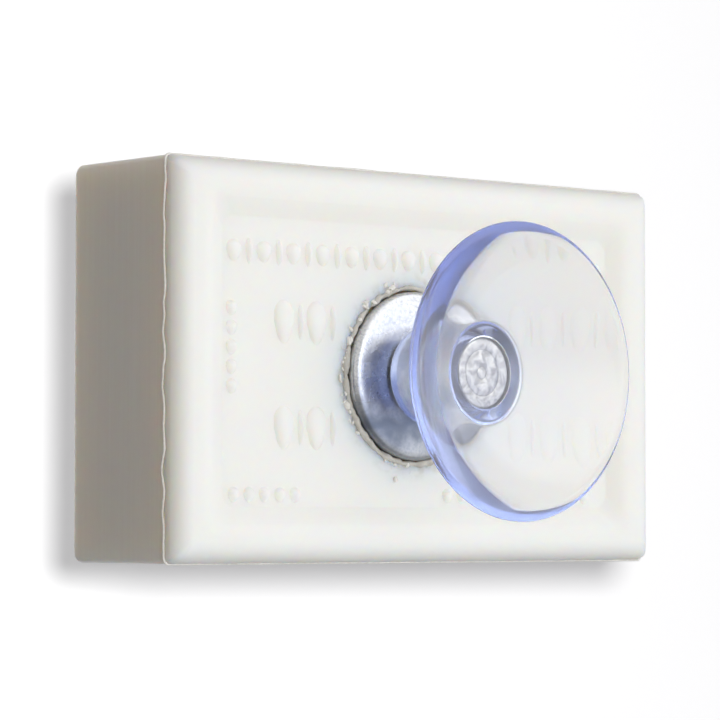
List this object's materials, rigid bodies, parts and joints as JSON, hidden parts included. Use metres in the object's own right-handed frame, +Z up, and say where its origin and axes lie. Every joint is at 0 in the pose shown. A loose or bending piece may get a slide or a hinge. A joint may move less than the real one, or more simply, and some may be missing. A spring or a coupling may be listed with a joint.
{
  "type": "magnetic suction soap holder with soap bar",
  "caption": "Clear suction cup with a magnet in its hub, holding a bar of soap by a toothed steel cap pressed into the bar.",
  "frame": {"origin": "centre of the suction cup's lip, in the plane of the wall that it sticks to", "axes": "+Y along the holder's axis away from the wall, +Z up, +X along the bar"},
  "size_m": [0.0915, 0.0469, 0.056],
  "materials": {
    "clear_pvc": "clear soft moulding, glossy, faint blue tint",
    "nickel_plate": "bright nickel plate",
    "polished_steel": "polished stainless sheet",
    "white_soap": "pressed soap, waxy satin"
  },
  "bodies": {
    "wall_cup": {"suction_cup": "clear_pvc"},
    "magnet": {"magnet": "nickel_plate"},
    "cap": {"steel_cap": "polished_steel"},
    "bar": {"soap_bar": "white_soap"}
  },
  "joints": [
    {"name": "swivel", "type": "hinge", "parent": "wall_cup", "child": "magnet", "pos_m": [0, 0.0102, 0], "axis": [0, 1, 0], "continuous": true},
    {"name": "pull_off", "type": "slide", "parent": "magnet", "child": "cap", "axis": [0, 1, 0], "range_m": [0, 0.06]},
    {"name": "cap_release", "type": "slide", "parent": "cap", "child": "bar", "axis": [0, 1, 0], "range_m": [0, 0.02]}
  ]
}
